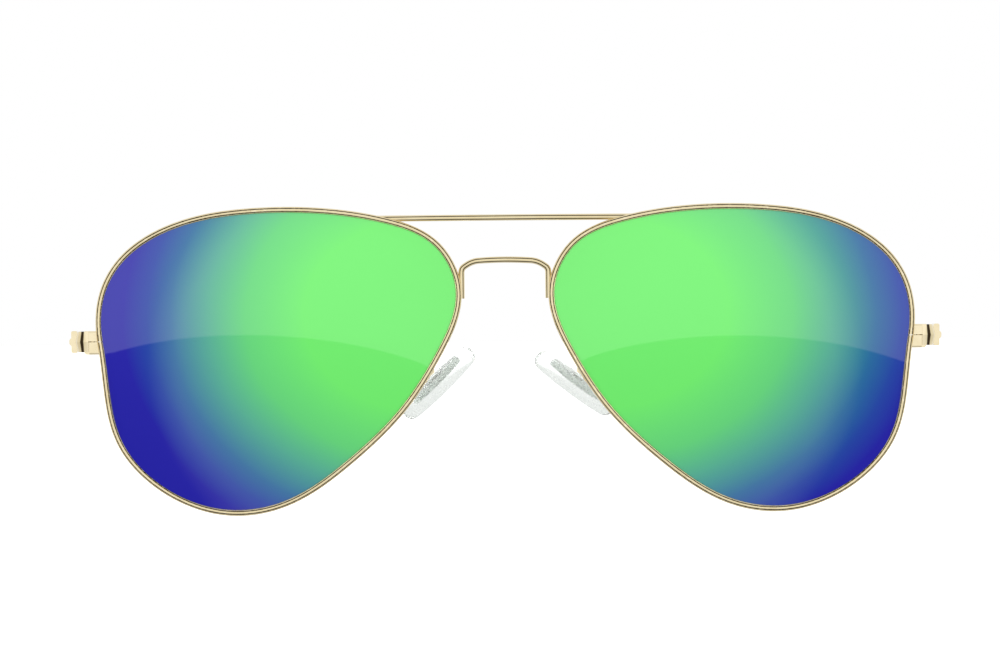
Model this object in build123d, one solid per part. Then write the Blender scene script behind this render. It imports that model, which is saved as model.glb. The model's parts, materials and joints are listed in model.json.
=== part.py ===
from build123d import *
import math
import os

# Metal aviator sunglasses with the temples open, millimetres.
# X runs to the wearer's left (the "right" half as seen from the front), Y runs from the lenses
# back to the temple tips, Z runs up. The origin is at the middle of the footprint on the
# ground, which the two rims and the two temple tips touch.
# Every piece is drawn for the half with x > 0. The other half is its mirror image.

# Lenses and rims
LENS_X = 36.70  # lens centre from the mirror plane
LENS_Z = 24.61  # lens centre above the ground
FRONT_Y = -69.30  # lens centre, middle of the thickness
LENS_CURVE = 88.0  # radius of a base-6 lens, middle of the thickness
WRAP = math.radians(6.0)  # each lens turns back by this much
LENS_FRONT = 0.75  # lens surfaces from the middle of the thickness
LENS_BACK = 1.05
LENS_GAP = 0.03  # slack between the lens edge and the rim
BEVEL_HEIGHT = 0.42
BEVEL_HALF = 0.45
RIM_WIDTH = 1.0  # seen from the front
RIM_SIDE = 0.75  # half depth of the rim's flat outer side
RIM_CROWN = 1.15  # half depth at the crest of its rounded faces
GROOVE_DEPTH = 0.45
GROOVE_HALF = 0.5
SPLIT_GAP = 0.14  # opening between the rim's two ends
SPLIT_RISE = 3.9  # height of that opening above the lens centre

SPLIT_CUT = (25.0, 32.0)  # the cut that opens the rim, outward from the lens centre
SPLIT_DEPTH = (5.0, 12.0)  # and behind it
BLANK_HALF = (32.0, 28.0)  # half width and half height of the block the lens is trimmed from
BLANK_DEPTH = (-5.0, 15.0)
CUTTER_REACH = 3.0  # of the bevel cutter beyond the lens edge
GUIDE_SHARE = 0.9  # radius of the line that keeps the rim square to the lens

# Lens outline from the lens centre: outward from the nose, then up
LENS_OUTLINE = [
    (28.7, SPLIT_RISE), (24.5, 17.6), (14.0, 22.9), (5.25, 24.2), (-6.4, 24.2),
    (-17.5, 22.45), (-25.0, 18.95), (-28.5, 11.8), (-25.5, 2.0), (-19.3, -7.4),
    (-11.1, -15.3), (-0.7, -22.0), (11.35, -22.95), (25.05, -13.45),
]

# Bridge and brow bar
WIRE = 1.0  # diameter of both wires
BRIDGE_LEG_X = 7.05
BRIDGE_LEG_RISE = 10.4  # foot of the leg above the lens centre
BRIDGE_HEEL_RISE = 15.3
BRIDGE_SHOULDER = (5.3, 16.45)
BRIDGE_CROWN_RISE = 16.85
BRIDGE_BOW = 0.9  # crown in front of the legs
BRIDGE_RADII = [1.1, 4.0, 40.0, 4.0, 1.1]
BROW_END_X = 21.6
BROW_RISE = 23.52
BROW_BOW = 1.1
BROW_RADIUS = 150.0
WEB_THICKNESS = 0.7
WEB_OUTLINE = [(16.9, 22.35), (16.9, 23.3), (20.5, 23.5), (20.5, 23.15)]  # x, above the lens centre

# Closing blocks at the split rim and their screw
BLOCK_INNER_X = 65.9
BLOCK_OUTER_X = 68.75
BLOCK_FRONT = 7.75  # behind the lens centre
BLOCK_BACK = 10.4
BLOCK_UP = 1.75  # top and bottom from the split
BLOCK_DOWN = 2.1
BLOCK_CHAMFER = 0.3
BLOCK_SLACK = 0.12  # lower block to end piece
RIM_SCREW_X = 67.5
RIM_SCREW_BACK = 9.3
RIM_SCREW_RADIUS = 0.55
RIM_SCREW_HEAD_RADIUS = 0.85
RIM_SCREW_HEAD = 0.55
RIM_SCREW_LENGTH = 3.1
HOLE_SLACK = 0.03
THREAD_SLACK = 0.01
SLOT_WIDTH = 0.25
SLOT_DEPTH = 0.25

# End piece: a ridged strip bent round the corner
END_INNER_X = 68.05
END_OUTER_X = 70.05  # at the corner
END_FLARE = 0.5  # the side leg leans outward by this much towards the hinge
END_FRONT = 7.2
END_BACK = 13.2
END_HEIGHT = 3.4
END_THICKNESS = 1.2
END_EDGE = 0.8  # thickness at the upper and lower edges
END_CORNER_RADIUS = 1.1

# Hinge
HINGE_X = 67.9
HINGE_BACK = 13.6
KNUCKLE_RADIUS = 1.15
KNUCKLE_HALF = 1.75  # half height of the whole barrel
MIDDLE_HALF = 0.60
KNUCKLE_GAP = 0.05
HINGE_PIN_RADIUS = 0.60
HINGE_HEAD_RADIUS = 0.90
HINGE_HEAD = 0.5
LEAF_INNER_X = 68.5
LEAF_START = 10.5
LEAF_CLEARANCE = 0.15  # front leaf to the middle knuckle
TEMPLE_LEAF_INNER_X = 69.45
TEMPLE_LEAF_FRONT = 14.0
TEMPLE_LEAF_BACK = 19.5
TEMPLE_LEAF_HALF = 1.35

# Temple: a wire along its whole length, with a tapering plate along the front end
TEMPLE_START = 13.35
TEMPLE_X = 71.0  # middle of the wire
TEMPLE_HEIGHT = 1.3
TEMPLE_THICKNESS = 1.1
TEMPLE_CORNER = 0.5  # rounding of the wire's corners
PLATE_OUTER_X = 71.25
PLATE_STATIONS = [  # behind the lens centre, height, thickness
    (TEMPLE_START, 3.6, 1.0),
    (18.0, 3.5, 1.0),
    (26.0, 2.5, 0.95),
    (36.0, 1.1, 0.8),
]
PLATE_CORNER = 0.3
BEND_BACK = 105.0
BEND_RADIUS = 24.0
BEND_DROP = math.radians(39.0)
TIP_RUN = 44.03  # from the bend to the end of the tip
TIP_INWARD = 9.0
WIRE_SHORT = 6.0  # the wire ends this far inside the tip

# Small cuts and turns
SCREW_RELIEF = 0.1  # depth left past the end of a screw
RIM_SCREW_TURN = 35.0  # degrees each slot was left at
HINGE_SCREW_TURN = 20.0
END_CORNER_CUT = 0.2
LEAF_STEP = 0.2  # the leaves stop short of the knuckles' ends
ARM_INSET = 0.3  # knuckle arms start outside the hinge axis
ARM_BITE = 0.5  # and run into the leaf and the knuckle
TEMPLE_LEAF_CHAMFER = 0.6
BOX_CHAMFER = 0.35

# Plastic tip: share of the path, height, thickness
TIP_STATIONS = [
    (0.52, 2.5, 2.1),
    (0.60, 3.0, 2.2),
    (0.70, 3.9, 2.4),
    (0.80, 4.8, 2.6),
    (0.90, 5.4, 2.7),
    (0.96, 5.1, 2.6),
    (0.985, 4.2, 2.1),
    (0.995, 3.0, 1.5),
    (1.00, 2.0, 1.0),
]
TIP_SECTIONS = 49

# Nose pads
PAD_X = 11.1
PAD_BELOW = 3.45  # pad centre below the lens centre
PAD_BACK = 8.6
PAD_LEAN = math.radians(40.5)  # long axis below the horizontal
PAD_ROCK = {"right": 3.5, "left": -3.5}  # degrees, each pad settles its own way
PAD_SPLAY = math.radians(8.0)
PAD_LENGTH = 15.3
PAD_WIDTH = 8.0
PAD_THICKNESS = 3.0
PAD_ROUND = 1.3
CORE_LENGTH = 10.0
CORE_WIDTH = 4.6
CORE_THICKNESS = 0.8
CORE_OFFSET = 0.55  # core's middle towards the pad's back
LUG_WIDTH = 1.5
LUG_RADIUS = 0.75
PAD_AXIS = 2.95  # pad centre to its screw
PAD_SCREW_RADIUS = 0.4
PAD_SCREW_HEAD_RADIUS = 0.7
PAD_SCREW_HEAD = 0.4
BOX_GAP = 0.1  # lug to box wall
BOX_WALL = 0.45
BOX_LENGTH = 2.3
BOX_NEAR = 1.95  # the box reaches from here to BOX_FAR from the pad's centre
BOX_FAR = 4.35
ARM_DIAMETER = 0.9
ARM_FOOT_SHARES = (0.5407, 0.5245)  # places along the rim where the arm lies against it
ARM_FOOT_OUT = 0.95
ARM_FOOT_BACK = 1.25
ARM_KNEE = (2.2, 4.3, 3.0)  # from the top of the foot to the arm's highest point
ARM_END_RUN = 1.9  # last straight stretch, square to the box
ARM_RADII = [0.9, 0.8, 0.7]

SPLIT_Z = LENS_Z + SPLIT_RISE
CURVE_CENTRE = Vector(
    LENS_X - LENS_CURVE * math.sin(WRAP),
    FRONT_Y + LENS_CURVE * math.cos(WRAP),
    LENS_Z,
)


def behind(distance):
    """The y of a place this far behind the lens centre."""
    return FRONT_Y + distance


def on_lens(out, up):
    """Point on the middle surface of the lens, from its centre outward and up."""
    across = LENS_X + out - CURVE_CENTRE.X
    depth = math.sqrt(LENS_CURVE**2 - across**2 - up**2)
    return Vector(LENS_X + out, CURVE_CENTRE.Y - depth, LENS_Z + up)


RIM_LINE = Edge.make_spline([on_lens(out, up) for out, up in LENS_OUTLINE], periodic=True)
RIM_GUIDE = Edge.make_spline(
    [CURVE_CENTRE + (on_lens(out, up) - CURVE_CENTRE) * GUIDE_SHARE for out, up in LENS_OUTLINE],
    periodic=True,
)


def rim_plane(share):
    """Section plane across the rim: x points away from the lens, y to the front."""
    point = RIM_LINE @ share
    along = RIM_LINE % share
    front = (point - CURVE_CENTRE).normalized()
    away = along.cross(front).normalized()
    return Plane(origin=point, x_dir=away, z_dir=-along)


def sweep_rim(section):
    """Sweep a section round the lens with its y axis always square to the lens."""
    return sweep(section, path=RIM_LINE, binormal=RIM_GUIDE)


def largest(shape):
    """The main solid of a trimmed piece, without the crumbs beside it."""
    return shape.solids().sort_by(SortBy.VOLUME)[-1]


def box_between(low, high):
    """Box from its lowest to its highest corner."""
    size = Vector(*high) - Vector(*low)
    return Pos(*low) * Box(*size, align=(Align.MIN, Align.MIN, Align.MIN))


def make_rim():
    with BuildSketch(rim_plane(0)) as section:
        with BuildLine():
            ThreePointArc((0, RIM_SIDE), (RIM_WIDTH / 2, RIM_CROWN), (RIM_WIDTH, RIM_SIDE))
            Line((RIM_WIDTH, RIM_SIDE), (RIM_WIDTH, -RIM_SIDE))
            ThreePointArc((RIM_WIDTH, -RIM_SIDE), (RIM_WIDTH / 2, -RIM_CROWN), (0, -RIM_SIDE))
            Polyline(
                (0, -RIM_SIDE), (0, -GROOVE_HALF), (GROOVE_DEPTH, 0), (0, GROOVE_HALF), (0, RIM_SIDE)
            )
        make_face()
    gap = box_between(
        (LENS_X + SPLIT_CUT[0], behind(SPLIT_DEPTH[0]), SPLIT_Z - SPLIT_GAP / 2),
        (LENS_X + SPLIT_CUT[1], behind(SPLIT_DEPTH[1]), SPLIT_Z + SPLIT_GAP / 2),
    )
    return sweep_rim(section.sketch) - gap


def make_lens():
    """Spherical shell trimmed by the edge's bevelled outline."""
    shell = Pos(*CURVE_CENTRE) * (Sphere(LENS_CURVE + LENS_FRONT) - Sphere(LENS_CURVE - LENS_BACK))
    half_width, half_height = BLANK_HALF
    blank = shell & box_between(
        (LENS_X - half_width, behind(BLANK_DEPTH[0]), LENS_Z - half_height),
        (LENS_X + half_width, behind(BLANK_DEPTH[1]), LENS_Z + half_height),
    )
    with BuildSketch(rim_plane(0)) as section:
        with BuildLine():
            Polyline(
                (-LENS_GAP, -CUTTER_REACH),
                (-LENS_GAP, -BEVEL_HALF),
                (BEVEL_HEIGHT - LENS_GAP, 0),
                (-LENS_GAP, BEVEL_HALF),
                (-LENS_GAP, CUTTER_REACH),
                (CUTTER_REACH, CUTTER_REACH),
                (CUTTER_REACH, -CUTTER_REACH),
                close=True,
            )
        make_face()
    pieces = blank - sweep_rim(section.sketch)
    return pieces.solids().sort_by_distance(on_lens(0, 0))[0]


def round_wire(points, radii, diameter):
    """Round wire along straight runs joined by arcs."""
    path = FilletPolyline(*points, radius=radii)
    start = Plane(origin=path @ 0, z_dir=path % 0)
    return sweep(start * Circle(diameter / 2), path=path)


def mirrored_route(points):
    """A route drawn from x > 0 to the middle point, carried on to the other side."""
    return points + [(-x, y, z) for x, y, z in reversed(points[:-1])]


def make_bridge(rims):
    leg_y = on_lens(BRIDGE_LEG_X - LENS_X, BRIDGE_LEG_RISE).Y
    shoulder_x, shoulder_rise = BRIDGE_SHOULDER
    route = mirrored_route([
        (BRIDGE_LEG_X, leg_y, LENS_Z + BRIDGE_LEG_RISE),
        (BRIDGE_LEG_X, leg_y, LENS_Z + BRIDGE_HEEL_RISE),
        (shoulder_x, leg_y - BRIDGE_BOW / 2, LENS_Z + shoulder_rise),
        (0, leg_y - BRIDGE_BOW, LENS_Z + BRIDGE_CROWN_RISE),
    ])
    wire = round_wire(route, BRIDGE_RADII, WIRE)
    return wire - rims


def make_brow_bar(rims):
    end_y = on_lens(BROW_END_X - LENS_X, BROW_RISE).Y
    brow_z = LENS_Z + BROW_RISE
    route = mirrored_route([(BROW_END_X, end_y, brow_z), (0, end_y - BROW_BOW, brow_z)])
    bar = round_wire(route, [BROW_RADIUS], WIRE)
    with BuildSketch(Plane.XZ.offset(-end_y + BROW_BOW / 6)) as outline:
        with BuildLine():
            Polyline(*[(x, LENS_Z + rise) for x, rise in WEB_OUTLINE], close=True)
        make_face()
    web = extrude(outline.sketch, WEB_THICKNESS / 2, both=True)
    return largest(bar + web + mirror(web, about=Plane.YZ) - rims)


def slotted_screw(radius, length, head_radius, head_height):
    """Screw with its slotted head below z = 0 and its shank above."""
    head = Cylinder(head_radius, head_height, align=(Align.CENTER, Align.CENTER, Align.MAX))
    shank = Cylinder(radius, length, align=(Align.CENTER, Align.CENTER, Align.MIN))
    slot = Pos(0, 0, -head_height) * Box(3 * head_radius, SLOT_WIDTH, 2 * SLOT_DEPTH)
    return head + shank - slot


def rim_screw_hole(radius, low, high):
    """Upright hole on the rim screw's axis between two heights from the split."""
    hole = Cylinder(radius, high - low, align=(Align.CENTER, Align.CENTER, Align.MIN))
    return Pos(RIM_SCREW_X, behind(RIM_SCREW_BACK), SPLIT_Z + low) * hole


def make_closing_block(low, high):
    """Block between two heights from the split, with its front corners taken off."""
    block = box_between(
        (BLOCK_INNER_X, behind(BLOCK_FRONT), SPLIT_Z + low),
        (BLOCK_OUTER_X, behind(BLOCK_BACK), SPLIT_Z + high),
    )
    outer_face = high if abs(high) > abs(low) else low
    edges = block.faces().sort_by(Axis.Z)[-1 if outer_face == high else 0].edges()
    return chamfer(edges, BLOCK_CHAMFER)


def make_closing_blocks(rim, end_piece):
    half_gap = SPLIT_GAP / 2
    seat = -BLOCK_DOWN + RIM_SCREW_HEAD
    upper = make_closing_block(half_gap, BLOCK_UP) - rim - end_piece
    hole_end = seat + RIM_SCREW_LENGTH + SCREW_RELIEF
    upper -= rim_screw_hole(RIM_SCREW_RADIUS + THREAD_SLACK, half_gap, hole_end)
    lower = make_closing_block(-BLOCK_DOWN, -half_gap) - rim
    lower -= box_between(
        (END_INNER_X - BLOCK_SLACK, behind(END_FRONT), SPLIT_Z - BLOCK_DOWN),
        (END_OUTER_X, behind(END_FRONT + END_THICKNESS + BLOCK_SLACK), SPLIT_Z),
    )
    lower -= rim_screw_hole(RIM_SCREW_RADIUS + HOLE_SLACK, -BLOCK_DOWN, 0)
    lower -= rim_screw_hole(RIM_SCREW_HEAD_RADIUS + HOLE_SLACK, -BLOCK_DOWN, seat)
    return largest(upper), largest(lower)


def make_rim_screw():
    screw = slotted_screw(RIM_SCREW_RADIUS, RIM_SCREW_LENGTH, RIM_SCREW_HEAD_RADIUS, RIM_SCREW_HEAD)
    seat = SPLIT_Z - BLOCK_DOWN + RIM_SCREW_HEAD
    return Pos(RIM_SCREW_X, behind(RIM_SCREW_BACK), seat) * Rot(0, 0, RIM_SCREW_TURN) * screw


def make_end_piece():
    """Ridged strip that runs outward, turns the corner and runs back to the hinge."""
    half = END_THICKNESS / 2
    edge = END_EDGE - half
    path = FilletPolyline(
        (END_INNER_X, behind(END_FRONT + half), SPLIT_Z),
        (END_OUTER_X - half, behind(END_FRONT + half), SPLIT_Z),
        (END_OUTER_X - half + END_FLARE, behind(END_BACK), SPLIT_Z),
        radius=END_CORNER_RADIUS,
    )
    start = Plane(origin=path @ 0, x_dir=(0, -1, 0), z_dir=(1, 0, 0))
    with BuildSketch(start) as section:
        with BuildLine():
            Polyline(
                (-half, -END_HEIGHT / 2 + END_CORNER_CUT),
                (-half, END_HEIGHT / 2 - END_CORNER_CUT),
                (-half + END_CORNER_CUT, END_HEIGHT / 2),
                (edge, END_HEIGHT / 2),
                (half, 0),
                (edge, -END_HEIGHT / 2),
                (-half + END_CORNER_CUT, -END_HEIGHT / 2),
                close=True,
            )
        make_face()
    return sweep(section.sketch, path=path)


def hinge_cylinder(radius, low, high):
    """Upright cylinder on the hinge axis between two heights from the split."""
    body = Cylinder(radius, high - low, align=(Align.CENTER, Align.CENTER, Align.MIN))
    return Pos(HINGE_X, behind(HINGE_BACK), SPLIT_Z + low) * body


def make_hinge_front(end_piece):
    """Leaf brazed inside the end piece, with the upper and lower knuckles."""
    leaf_end = HINGE_BACK - KNUCKLE_RADIUS - LEAF_CLEARANCE
    outer_x = END_OUTER_X - END_THICKNESS / 2
    leaf = box_between(
        (LEAF_INNER_X, behind(LEAF_START), SPLIT_Z - KNUCKLE_HALF + LEAF_STEP),
        (outer_x, behind(leaf_end), SPLIT_Z + KNUCKLE_HALF - LEAF_STEP),
    )
    inner = MIDDLE_HALF + KNUCKLE_GAP
    for low, high in ((inner, KNUCKLE_HALF), (-KNUCKLE_HALF, -inner)):
        arm_low = max(low, -KNUCKLE_HALF + LEAF_STEP)
        arm_high = min(high, KNUCKLE_HALF - LEAF_STEP)
        leaf += box_between(
            (HINGE_X + ARM_INSET, behind(leaf_end - ARM_BITE), SPLIT_Z + arm_low),
            (HINGE_X + KNUCKLE_RADIUS, behind(HINGE_BACK - ARM_BITE), SPLIT_Z + arm_high),
        )
        leaf += hinge_cylinder(KNUCKLE_RADIUS, low, high)
    leaf -= hinge_cylinder(HINGE_PIN_RADIUS + HOLE_SLACK, inner - 1, KNUCKLE_HALF)
    leaf -= hinge_cylinder(HINGE_PIN_RADIUS + THREAD_SLACK, -KNUCKLE_HALF, -inner)
    leaf -= hinge_cylinder(HINGE_HEAD_RADIUS + HOLE_SLACK, KNUCKLE_HALF - HINGE_HEAD, KNUCKLE_HALF)
    return leaf - end_piece


def make_hinge_screw():
    shank = 2 * KNUCKLE_HALF - HINGE_HEAD
    screw = slotted_screw(HINGE_PIN_RADIUS, shank, HINGE_HEAD_RADIUS, HINGE_HEAD)
    top = SPLIT_Z + KNUCKLE_HALF - HINGE_HEAD
    return Pos(HINGE_X, behind(HINGE_BACK), top) * Rot(180, 0, HINGE_SCREW_TURN) * screw


def make_hinge_temple(temple):
    """Leaf brazed inside the temple, with the middle knuckle."""
    outer_x = PLATE_OUTER_X - PLATE_STATIONS[0][2]
    leaf = box_between(
        (TEMPLE_LEAF_INNER_X, behind(TEMPLE_LEAF_FRONT), SPLIT_Z - TEMPLE_LEAF_HALF),
        (outer_x, behind(TEMPLE_LEAF_BACK), SPLIT_Z + TEMPLE_LEAF_HALF),
    )
    leaf = chamfer(leaf.edges().filter_by(Axis.X).sort_by(Axis.Y)[-2:], TEMPLE_LEAF_CHAMFER)
    leaf += box_between(
        (HINGE_X, behind(HINGE_BACK + LEAF_STEP), SPLIT_Z - MIDDLE_HALF),
        (TEMPLE_LEAF_INNER_X, behind(HINGE_BACK + KNUCKLE_RADIUS), SPLIT_Z + MIDDLE_HALF),
    )
    leaf += hinge_cylinder(KNUCKLE_RADIUS, -MIDDLE_HALF, MIDDLE_HALF)
    leaf -= hinge_cylinder(HINGE_PIN_RADIUS + HOLE_SLACK, -MIDDLE_HALF, MIDDLE_HALF)
    return leaf - temple


def temple_path():
    """Middle line of the straight wire and the bent end."""
    start = Vector(TEMPLE_X, behind(TEMPLE_START), SPLIT_Z)
    bend = Vector(TEMPLE_X, behind(BEND_BACK), SPLIT_Z)
    end = bend + Vector(-TIP_INWARD, TIP_RUN * math.cos(BEND_DROP), -TIP_RUN * math.sin(BEND_DROP))
    return FilletPolyline(start, bend, end, radius=BEND_RADIUS)


def make_temple(path):
    """Wire that stands proud of its front plate and runs on inside the tip."""
    sections = []
    for back, height, thickness in PLATE_STATIONS:
        middle_x = PLATE_OUTER_X - thickness / 2
        place = Plane(origin=(middle_x, behind(back), SPLIT_Z), x_dir=(1, 0, 0), z_dir=(0, 1, 0))
        sections.append(place * RectangleRounded(thickness, height, PLATE_CORNER))
    start = Plane(origin=path @ 0, x_dir=(1, 0, 0), z_dir=(0, 1, 0))
    wire_section = start * RectangleRounded(TEMPLE_THICKNESS, TEMPLE_HEIGHT, TEMPLE_CORNER)
    wire = sweep(wire_section, path=path.trim(0, 1 - WIRE_SHORT / path.length))
    return loft(sections) + wire


def tip_size(share):
    """Height and thickness of the tip at a share of the path, between its stations."""
    for near, far in zip(TIP_STATIONS, TIP_STATIONS[1:]):
        if share <= far[0]:
            part = (share - near[0]) / (far[0] - near[0])
            return [start + (end - start) * part for start, end in zip(near[1:], far[1:])]


def make_temple_tip(path, temple):
    """Plastic sleeve, thin where it starts and broad and rounded behind the ear."""
    first, last = TIP_STATIONS[0][0], TIP_STATIONS[-1][0]
    sections = []
    for step in range(TIP_SECTIONS):
        share = first + (last - first) * step / (TIP_SECTIONS - 1)
        height, thickness = tip_size(share)
        along = path % share
        place = Plane(origin=path @ share, x_dir=along.cross(Vector(0, 0, 1)), z_dir=along)
        sections.append(place * Ellipse(thickness / 2, height / 2))
    return loft(sections, ruled=True) - temple


def pad_frame():
    """Frame of a level pad: x along the pad downwards, y along its screw, z to the nose."""
    middle = Vector(PAD_X, behind(PAD_BACK), LENS_Z - PAD_BELOW)
    along = Vector(math.cos(PAD_LEAN), 0, -math.sin(PAD_LEAN))
    flat = Vector(-math.sin(PAD_LEAN), 0, -math.cos(PAD_LEAN))
    to_nose = flat * math.cos(PAD_SPLAY) + Vector(0, math.sin(PAD_SPLAY), 0)
    return Plane(origin=middle, x_dir=along, z_dir=to_nose)


def rocked(rock):
    """Place of a pad once it has turned about its screw."""
    return pad_frame().location * Pos(0, 0, -PAD_AXIS) * Rot(0, rock, 0) * Pos(0, 0, PAD_AXIS)


def along_screw(radius, half):
    """Cylinder on the pad screw's axis."""
    return Pos(0, 0, -PAD_AXIS) * Rot(90, 0, 0) * Cylinder(radius, 2 * half)


def make_pad_core():
    """Stiff plate inside the pad with the lug that stands out of the pad's back."""
    plate = Pos(0, 0, -CORE_OFFSET) * extrude(
        Ellipse(CORE_LENGTH / 2, CORE_WIDTH / 2), CORE_THICKNESS / 2, both=True
    )
    lug = box_between(
        (-LUG_RADIUS, -LUG_WIDTH / 2, -PAD_AXIS),
        (LUG_RADIUS, LUG_WIDTH / 2, -CORE_OFFSET),
    )
    core = plate + lug + along_screw(LUG_RADIUS, LUG_WIDTH / 2)
    return core - along_screw(PAD_SCREW_RADIUS + HOLE_SLACK, LUG_WIDTH)


def make_nose_pad(core):
    outline = Ellipse(PAD_LENGTH / 2, PAD_WIDTH / 2)
    pad = extrude(outline, PAD_THICKNESS / 2, both=True)
    return fillet(pad.edges(), PAD_ROUND) - core


def make_pad_box():
    """Small cup whose two cheeks hold the lug between them."""
    cheek_out = LUG_WIDTH / 2 + BOX_GAP + BOX_WALL
    cheek_in = LUG_WIDTH / 2 + BOX_GAP
    cup = box_between(
        (-BOX_LENGTH / 2, -cheek_out, -BOX_FAR), (BOX_LENGTH / 2, cheek_out, -BOX_NEAR)
    )
    cup = chamfer(cup.edges().filter_by(Axis.Y), BOX_CHAMFER)
    cup -= box_between(
        (-BOX_LENGTH, -cheek_in, -BOX_FAR + BOX_WALL), (BOX_LENGTH, cheek_in, -BOX_NEAR + 1)
    )
    return cup - along_screw(PAD_SCREW_RADIUS + HOLE_SLACK, cheek_out + 1)


def make_pad_screw():
    cheek_out = LUG_WIDTH / 2 + BOX_GAP + BOX_WALL
    screw = slotted_screw(
        PAD_SCREW_RADIUS, 2 * cheek_out + SCREW_RELIEF, PAD_SCREW_HEAD_RADIUS, PAD_SCREW_HEAD
    )
    return Pos(0, -cheek_out, -PAD_AXIS) * Rot(-90, 0, 0) * screw


def make_pad_arm(rim):
    """Wire that lies against the rim, loops back and meets the bottom of the pad box."""
    frame = pad_frame()
    feet = []
    for share in ARM_FOOT_SHARES:
        section = rim_plane(share)
        feet.append(section.origin + section.x_dir * ARM_FOOT_OUT - section.y_dir * ARM_FOOT_BACK)
    base = frame.origin - frame.z_dir * (BOX_FAR - BOX_WALL / 2)
    route = feet + [feet[1] + Vector(*ARM_KNEE), base - frame.z_dir * ARM_END_RUN, base]
    return round_wire(route, ARM_RADII, ARM_DIAMETER) - rim


def main():
    os.makedirs("parts", exist_ok=True)
    rim = make_rim()
    rims = [rim, mirror(rim, about=Plane.YZ)]
    end_piece = make_end_piece()
    upper, lower = make_closing_blocks(rim, end_piece)
    path = temple_path()
    temple = make_temple(path)
    pad_core = make_pad_core()
    pad_box = pad_frame() * make_pad_box()
    pieces = {
        "rim": rim,
        "lens": make_lens(),
        "closing_block_upper": upper,
        "closing_block_lower": lower,
        "rim_screw": make_rim_screw(),
        "end_piece": end_piece,
        "hinge_front": make_hinge_front(end_piece),
        "hinge_screw": make_hinge_screw(),
        "hinge_temple": make_hinge_temple(temple),
        "temple": temple,
        "temple_tip": make_temple_tip(path, temple),
        "pad_box": pad_box,
        "pad_arm": make_pad_arm(rim) - pad_box,
    }
    moving_pad = {
        "pad_core": pad_core,
        "nose_pad": make_nose_pad(pad_core),
        "pad_screw": make_pad_screw(),
    }
    for side, rock in PAD_ROCK.items():
        for name, piece in moving_pad.items():
            pieces[name] = rocked(rock) * piece
        for name, piece in pieces.items():
            placed = mirror(piece, about=Plane.YZ) if side == "left" else piece
            export_step(placed, f"parts/{name}_{side}.step")
    export_step(make_bridge(rims), "parts/bridge.step")
    export_step(make_brow_bar(rims), "parts/brow_bar.step")


main()
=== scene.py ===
import json
import math

import bpy
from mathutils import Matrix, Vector


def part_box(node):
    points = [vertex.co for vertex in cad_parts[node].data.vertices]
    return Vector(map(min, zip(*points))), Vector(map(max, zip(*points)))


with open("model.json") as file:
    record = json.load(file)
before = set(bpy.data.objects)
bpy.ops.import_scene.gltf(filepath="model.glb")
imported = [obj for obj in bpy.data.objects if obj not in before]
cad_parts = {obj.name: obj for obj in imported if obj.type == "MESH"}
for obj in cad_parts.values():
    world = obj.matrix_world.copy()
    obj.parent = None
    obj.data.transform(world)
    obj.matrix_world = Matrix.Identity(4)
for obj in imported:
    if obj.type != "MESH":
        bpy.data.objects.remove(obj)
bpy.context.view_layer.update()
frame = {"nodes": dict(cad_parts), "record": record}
nodes = frame["nodes"]

MM = 0.001
SIDES = ("left", "right")

# Places taken from the frame
rim_low, rim_high = (Vector(corner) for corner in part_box("rim_right"))
RIM_OFF_CENTRE = 0.4 * MM  # the rim's middle from the lens centre, outward
RIM_OVER_CENTRE = 0.5 * MM  # and upward
LENS_SAG = 1.2 * MM  # the lens's foremost point before its centre
LENS_X = (rim_low.x + rim_high.x) / 2 - RIM_OFF_CENTRE
LENS_Z = (rim_low.z + rim_high.z) / 2 - RIM_OVER_CENTRE
FRONT_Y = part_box("lens_right")[0][1] + LENS_SAG

# Tint of the mirror coat, measured from a point on each lens beside the nose
GREEN_IN = 21.3 * MM  # that point from the lens centre, inward
GREEN_UP = 7.9 * MM  # and upward
GREEN_SQUASH = 1.24  # the bands are flatter than circles
GREEN_DRIFT = 0.05  # the right lens stays green a little further out than the left one
TINT_RIPPLE = 1.6 * MM
TINT_REACH = 50.0 * MM  # distance at which the violet is full
TINTS = [
    (0.38, (0.112, 0.745, 0.105)),
    (0.58, (0.082, 0.580, 0.150)),
    (0.71, (0.050, 0.360, 0.250)),
    (0.84, (0.016, 0.140, 0.330)),
    (0.92, (0.013, 0.056, 0.365)),
    (1.00, (0.014, 0.012, 0.375)),
]
FACING_EDGE = 0.2  # of the normal's Y, over which the lens turns from its front to its back

# Studio
WHITE = (1.0, 1.0, 1.0)
FLOOR_HALF = 60.0
FLOOR_DROP = 0.02 * MM
LENS_BOX_DISTANCE = 1.0
LENS_BOX_TURN = math.radians(25.0)
LENS_BOX_SIZE = (2.6, 1.6)
LENS_BOX_MIDDLE = 0.55  # above the lens centre
LENS_BOX_RADIANCE = 1.25
LENS_BOX_BLUR = 0.004  # half width of the softbox's edge
# Lower edge of each softbox: height over the lens centre, tilt and bow, outward from its middle
LENS_BOX_EDGES = {"left": (0.11, -0.03, -0.165), "right": (0.085, -0.085, -0.165)}

# Camera
CAMERA_DISTANCE = 1.0
CAMERA_HEIGHT = 29.3 * MM
CAMERA_ASIDE = -0.875 * MM
CAMERA_ROLL = math.radians(0.5)
PICTURE_WIDTH = 161.94 * MM  # covered at the lenses
SENSOR_WIDTH = 36.0

# ---------------------------------------------------------------- node helpers


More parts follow.
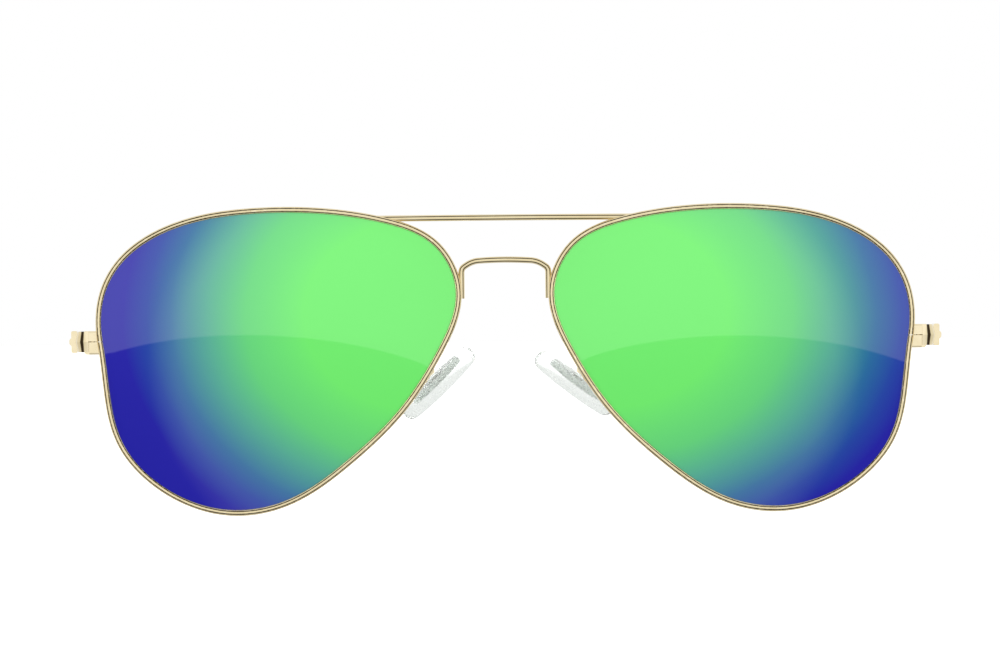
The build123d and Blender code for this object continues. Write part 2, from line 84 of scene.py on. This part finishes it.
class Shader:
    """A material or world with short ways to add and join its nodes."""

    def __init__(self, owner):
        owner.use_nodes = True
        self.tree = owner.node_tree
        self.tree.nodes.clear()

    def add(self, kind, settings=None, **inputs):
        node = self.tree.nodes.new(kind)
        for name, value in (settings or {}).items():
            setattr(node, name, value)
        for name, value in inputs.items():
            self.put(node, name.replace("_", " "), value)
        return node

    def put(self, node, name, value):
        """Set an input by its name, or by its number in the name, to a value or an output."""
        socket = node.inputs[int(name)] if name.isdigit() else node.inputs[name]
        if isinstance(value, bpy.types.NodeSocket):
            self.tree.links.new(value, socket)
        else:
            socket.default_value = value

    def math(self, operation, *values, clamp=False):
        node = self.add("ShaderNodeMath", {"operation": operation, "use_clamp": clamp})
        for index, value in enumerate(values):
            self.put(node, str(index), value)
        return node.outputs[0]

    def noise(self, scale, detail=3.0, roughness=0.5, vector=None, distortion=0.0):
        node = self.add(
            "ShaderNodeTexNoise",
            Scale=scale,
            Detail=detail,
            Roughness=roughness,
            Distortion=distortion,
        )
        self.put(node, "Vector", vector or self.place())
        return node.outputs["Fac"]

    def place(self):
        return self.add("ShaderNodeTexCoord").outputs["Object"]

    def stretched(self, scale):
        """Object coordinates scaled along each axis."""
        node = self.add("ShaderNodeMapping", Vector=self.place(), Scale=scale)
        return node.outputs[0]

    def ramp(self, factor, stops, interpolation="LINEAR"):
        node = self.add("ShaderNodeValToRGB")
        node.color_ramp.interpolation = interpolation
        elements = node.color_ramp.elements
        while len(elements) < len(stops):
            elements.new(1.0)
        for element, (position, colour) in zip(elements, stops):
            element.position = position
            element.color = (*colour, 1.0)
        self.put(node, "Fac", factor)
        return node.outputs["Color"]

    def span(self, value, low, high, out_low=0.0, out_high=1.0):
        """Carry a value's range over to another range, held at its ends."""
        node = self.add(
            "ShaderNodeMapRange",
            Value=value, From_Min=low, From_Max=high, To_Min=out_low, To_Max=out_high,
        )
        return node.outputs["Result"]

    def mix(self, factor, first, second, blend="MIX"):
        node = self.add("ShaderNodeMix", {"data_type": "RGBA", "blend_type": blend})
        colours = [socket for socket in node.inputs if socket.type == "RGBA"]
        self.put(node, "Factor", factor)
        for socket, value in zip(colours, (first, second)):
            if isinstance(value, bpy.types.NodeSocket):
                self.tree.links.new(value, socket)
            else:
                socket.default_value = (*value, 1.0)
        return next(socket for socket in node.outputs if socket.type == "RGBA")

    def bump(self, height, strength, distance):
        node = self.add("ShaderNodeBump", Height=height, Strength=strength, Distance=distance)
        return node.outputs["Normal"]

    def axes(self, vector):
        """Split a vector into its X, Y and Z outputs."""
        return self.add("ShaderNodeSeparateXYZ", Vector=vector).outputs

    def finish(self, kind, shader):
        """Join a shader to a new output node."""
        output = self.add(kind)
        self.tree.links.new(shader.outputs[0], output.inputs["Surface"])

    def join(self, factor, first, second):
        node = self.add("ShaderNodeMixShader", Fac=factor)
        self.tree.links.new(first.outputs[0], node.inputs[1])
        self.tree.links.new(second.outputs[0], node.inputs[2])
        return node

    def surface(self, **inputs):
        """Principled shader, not yet joined to an output."""
        shader = self.add("ShaderNodeBsdfPrincipled")
        for name, value in inputs.items():
            name = name.replace("_", " ")
            if name.endswith("Color") and not isinstance(value, bpy.types.NodeSocket):
                value = (*value, 1.0)
            self.put(shader, name, value)
        return shader

    def coat(self, **inputs):
        """Principled shader joined to the material's output."""
        self.finish("ShaderNodeOutputMaterial", self.surface(**inputs))


def material(name):
    made = bpy.data.materials.new(name)
    return made, Shader(made)


# ------------------------------------------------------------------- materials


def gold_metal():
    """Pale gold plate over drawn and polished wire."""
    made, s = material("gold_metal")
    cloud = s.noise(350.0, 4.0, 0.6)
    colour = s.ramp(cloud, [(0.3, (0.73, 0.61, 0.37)), (0.7, (0.80, 0.70, 0.46))])
    edge = s.add("ShaderNodeNewGeometry").outputs["Pointiness"]
    worn = s.span(edge, 0.52, 0.62)
    colour = s.mix(worn, colour, (0.88, 0.77, 0.54))
    haze = s.noise(5200.0, 3.0, 0.7)
    rough = s.span(haze, 0.3, 0.7, 0.05, 0.10)
    lines = s.noise(9000.0, 2.0, 0.5, s.stretched((1.0, 0.25, 1.0)))
    s.coat(
        Base_Color=colour,
        Metallic=1.0,
        Roughness=rough,
        Normal=s.bump(lines, 0.05, 0.01 * MM),
    )
    return made


def gold_screw():
    """Screws of the same plate, duller and slightly rough."""
    made, s = material("gold_screw")
    cloud = s.noise(900.0, 3.0)
    colour = s.ramp(cloud, [(0.3, (0.60, 0.47, 0.27)), (0.7, (0.72, 0.59, 0.36))])
    rough = s.span(s.noise(7000.0, 2.0), 0.3, 0.7, 0.18, 0.32)
    s.coat(
        Base_Color=colour,
        Metallic=1.0,
        Roughness=rough,
        Normal=s.bump(s.noise(12000.0, 2.0), 0.15, 0.01 * MM),
    )
    return made


def mirror_lens():
    """Mirror coat from green to violet-blue in front, dark glass behind."""
    made, s = material("mirror_lens")
    place = s.axes(s.place())
    across = s.math("SUBTRACT", s.math("ABSOLUTE", place["X"]), LENS_X - GREEN_IN)
    across = s.math("SUBTRACT", across, s.math("MULTIPLY", place["X"], GREEN_DRIFT))
    up = s.math("MULTIPLY", s.math("SUBTRACT", place["Z"], LENS_Z + GREEN_UP), GREEN_SQUASH)
    squares = s.math("ADD", s.math("POWER", across, 2.0), s.math("POWER", up, 2.0))
    ripple = s.math("MULTIPLY", s.math("SUBTRACT", s.noise(60.0, 2.0), 0.5), TINT_RIPPLE)
    distance = s.math("ADD", s.math("SQRT", squares), ripple)
    colour = s.ramp(s.math("DIVIDE", distance, TINT_REACH), TINTS)
    geometry = s.add("ShaderNodeNewGeometry")
    facing = s.axes(geometry.outputs["True Normal"])["Y"]
    smear = s.noise(90.0, 5.0, 0.65)
    mirror = s.surface(
        Base_Color=colour,
        Metallic=0.04,
        Roughness=s.span(smear, 0.3, 0.8, 0.34, 0.42),
        Specular_IOR_Level=0.1,
        Coat_Weight=1.0,
        Coat_Roughness=0.015,
        Coat_IOR=1.5,
    )
    clear = s.add("ShaderNodeBsdfTransparent", Color=(0.19, 0.22, 0.20, 1.0))
    inside = s.add("ShaderNodeBsdfTransparent", Color=(0.95, 0.97, 0.95, 1.0))
    gloss = s.add("ShaderNodeBsdfGlossy", Color=(1.0, 1.0, 1.0, 1.0), Roughness=0.03)
    polish = s.add("ShaderNodeLayerWeight", Blend=0.2).outputs["Fresnel"]
    rear = s.join(polish, clear, gloss)
    outer = s.join(s.span(facing, -FACING_EDGE, FACING_EDGE), mirror, rear)
    shell = s.join(geometry.outputs["Backfacing"], outer, inside)
    s.finish("ShaderNodeOutputMaterial", shell)
    return made


def tip_acetate():
    """Dark havana: amber clouds deep in a polished brown."""
    made, s = material("tip_acetate")
    cloud = s.noise(130.0, 3.0, 0.55, s.stretched((1.0, 0.55, 1.0)), 0.8)
    colour = s.ramp(
        cloud,
        [
            (0.36, (0.012, 0.006, 0.004)),
            (0.48, (0.040, 0.014, 0.006)),
            (0.58, (0.150, 0.050, 0.012)),
            (0.70, (0.330, 0.130, 0.028)),
        ],
    )
    s.coat(
        Base_Color=colour,
        Roughness=s.span(s.noise(600.0, 3.0), 0.3, 0.7, 0.16, 0.24),
        Coat_Weight=0.8,
        Coat_Roughness=0.06,
        Normal=s.bump(s.noise(900.0, 2.0), 0.05, 0.05 * MM),
    )
    return made


def pad_silicone():
    """Clear, faintly green-grey silicone with a satin skin."""
    made, s = material("pad_silicone")
    cloud = s.noise(420.0, 3.0)
    colour = s.ramp(cloud, [(0.3, (0.88, 0.92, 0.89)), (0.7, (0.94, 0.965, 0.945))])
    s.coat(
        Base_Color=colour,
        Roughness=s.span(s.noise(2500.0, 3.0), 0.3, 0.7, 0.24, 0.34),
        Transmission_Weight=0.92,
        IOR=1.2,
        Normal=s.bump(s.noise(700.0, 2.0), 0.06, 0.1 * MM),
    )
    return made


def pad_insert():
    """Hard clear insert moulded into each pad."""
    made, s = material("pad_insert")
    colour = s.ramp(s.noise(500.0, 2.0), [(0.3, (0.92, 0.95, 0.93)), (0.7, (0.97, 0.98, 0.97))])
    s.coat(
        Base_Color=colour,
        Roughness=s.span(s.noise(1800.0, 2.0), 0.3, 0.7, 0.14, 0.22),
        Transmission_Weight=0.95,
        IOR=1.25,
    )
    return made


def paint_nodes():
    made = {
        "gold_metal": gold_metal(),
        "gold_screw": gold_screw(),
        "mirror_lens": mirror_lens(),
        "tip_acetate": tip_acetate(),
        "pad_silicone": pad_silicone(),
        "pad_insert": pad_insert(),
    }
    for part in frame["record"]["subparts"]:
        for slot in nodes[part["node"]].material_slots:
            slot.material = made[part["material_slot"]]


# ---------------------------------------------------------------------- studio


def studio_world():
    """White to the camera; the metal sees a dark ring between a bright front and back."""
    world = bpy.data.worlds.new("studio")
    bpy.context.scene.world = world
    s = Shader(world)
    direction = s.axes(s.add("ShaderNodeTexCoord").outputs["Generated"])
    room = s.ramp(
        s.span(direction["Y"], -1.0, 1.0),
        [
            (0.00, (1.12, 1.12, 1.10)),
            (0.10, (1.10, 1.10, 1.08)),
            (0.14, (0.05, 0.04, 0.03)),
            (0.36, (0.05, 0.04, 0.03)),
            (0.42, (0.95, 0.94, 0.90)),
            (1.00, (1.00, 1.00, 1.00)),
        ],
    )
    low = s.span(direction["Z"], -0.9, 0.1, 0.72, 1.0)
    shade = s.add("ShaderNodeCombineColor", Red=low, Green=low, Blue=low).outputs[0]
    room = s.mix(1.0, room, shade, "MULTIPLY")
    path = s.add("ShaderNodeLightPath")
    plain = s.mix(path.outputs["Is Diffuse Ray"], room, (0.95, 0.95, 0.95))
    later = s.math("GREATER_THAN", path.outputs["Ray Depth"], 2.5)
    inner = s.math("MAXIMUM", path.outputs["Is Transmission Ray"], later)
    through = s.mix(inner, plain, WHITE)
    colour = s.mix(path.outputs["Is Camera Ray"], through, WHITE)
    background = s.add("ShaderNodeBackground", Color=colour, Strength=1.0)
    s.finish("ShaderNodeOutputWorld", background)


def floor():
    """White floor bright enough to meet the white room without an edge."""
    mesh = bpy.data.meshes.new("floor")
    half = FLOOR_HALF
    corners = [(-half, -half, 0), (half, -half, 0), (half, half, 0), (-half, half, 0)]
    mesh.from_pydata(corners, [], [(0, 1, 2, 3)])
    plane = bpy.data.objects.new("floor", mesh)
    bpy.context.scene.collection.objects.link(plane)
    plane.location.z = -FLOOR_DROP
    made, s = material("floor_white")
    s.coat(
        Base_Color=(0.9, 0.9, 0.9),
        Roughness=0.9,
        Emission_Color=WHITE,
        Emission_Strength=0.62,
    )
    mesh.materials.append(made)
    plane.visible_glossy = False
    plane.visible_diffuse = False


def softbox(name, place, aim, size, radiance):
    """Area light of an even brightness that the camera doesn't see."""
    lamp = bpy.data.lights.new(name, "AREA")
    lamp.shape = "RECTANGLE"
    lamp.size, lamp.size_y = size
    lamp.energy = radiance * math.pi * size[0] * size[1]
    holder = bpy.data.objects.new(name, lamp)
    bpy.context.scene.collection.objects.link(holder)
    holder.location = place
    holder.rotation_mode = "QUATERNION"
    holder.rotation_quaternion = (Vector(aim) - Vector(place)).to_track_quat("-Z", "Y")
    holder.visible_camera = False
    return holder


def lens_softbox(side):
    """Softbox with a bowed lower edge, one metre before one lens and seen only in its coat."""
    outward = -1 if side == "left" else 1
    turn = LENS_BOX_TURN * outward
    ahead = Vector((math.sin(turn), -math.cos(turn), 0.0))
    middle = Vector((outward * LENS_X, FRONT_Y, LENS_Z))
    place = middle + ahead * LENS_BOX_DISTANCE
    place.z += LENS_BOX_MIDDLE
    name = "lens_light_" + side
    holder = softbox(name, place, place - ahead, LENS_BOX_SIZE, LENS_BOX_RADIANCE)
    holder.visible_diffuse = False
    s = Shader(holder.data)
    spot = s.axes(s.add("ShaderNodeNewGeometry").outputs["Parametric"])
    half_width, half_height = (size / 2 for size in LENS_BOX_SIZE)
    out = s.span(spot["X"], 0.0, 1.0, -outward * half_width, outward * half_width)
    bottom, top = LENS_BOX_MIDDLE - half_height, LENS_BOX_MIDDLE + half_height
    up = s.span(spot["Y"], 0.0, 1.0, bottom, top)
    height, tilt, bow = LENS_BOX_EDGES[side]
    edge = s.math("MULTIPLY_ADD", s.math("MULTIPLY_ADD", out, bow, tilt), out, height)
    lit = s.span(s.math("SUBTRACT", up, edge), -LENS_BOX_BLUR, LENS_BOX_BLUR)
    glow = s.add("ShaderNodeEmission", Color=(*WHITE, 1.0), Strength=lit)
    s.finish("ShaderNodeOutputLight", glow)
    seen_by = bpy.data.collections.new("seen_by_" + side)
    seen_by.objects.link(nodes["lens_" + side])
    holder.light_linking.receiver_collection = seen_by


def lights():
    """Two broad softboxes that aren't mirrored in the metal, and one more for each lens."""
    middle = (0.0, 0.0, LENS_Z)
    for name, place, size, radiance in (
        ("top_light", (0.0, -0.2, 1.4), (1.6, 1.6), 0.5),
        ("front_light", (0.0, -1.6, 0.5), (2.2, 1.2), 0.45),
    ):
        softbox(name, place, middle, size, radiance).visible_glossy = False
    for side in SIDES:
        lens_softbox(side)


def camera():
    """Level front view, rolled half a degree."""
    lens = bpy.data.cameras.new("camera")
    holder = bpy.data.objects.new("camera", lens)
    bpy.context.scene.collection.objects.link(holder)
    lens.sensor_width = SENSOR_WIDTH
    lens.lens = SENSOR_WIDTH * CAMERA_DISTANCE / PICTURE_WIDTH
    holder.location = (CAMERA_ASIDE, FRONT_Y - CAMERA_DISTANCE, CAMERA_HEIGHT)
    holder.rotation_euler = (math.radians(90.0), CAMERA_ROLL, 0.0)
    lens.clip_start = 0.05
    lens.clip_end = 20.0
    bpy.context.scene.camera = holder


def main():
    paint_nodes()
    floor()
    lights()
    studio_world()
    camera()
    bpy.context.scene.view_settings.view_transform = "Standard"


main()
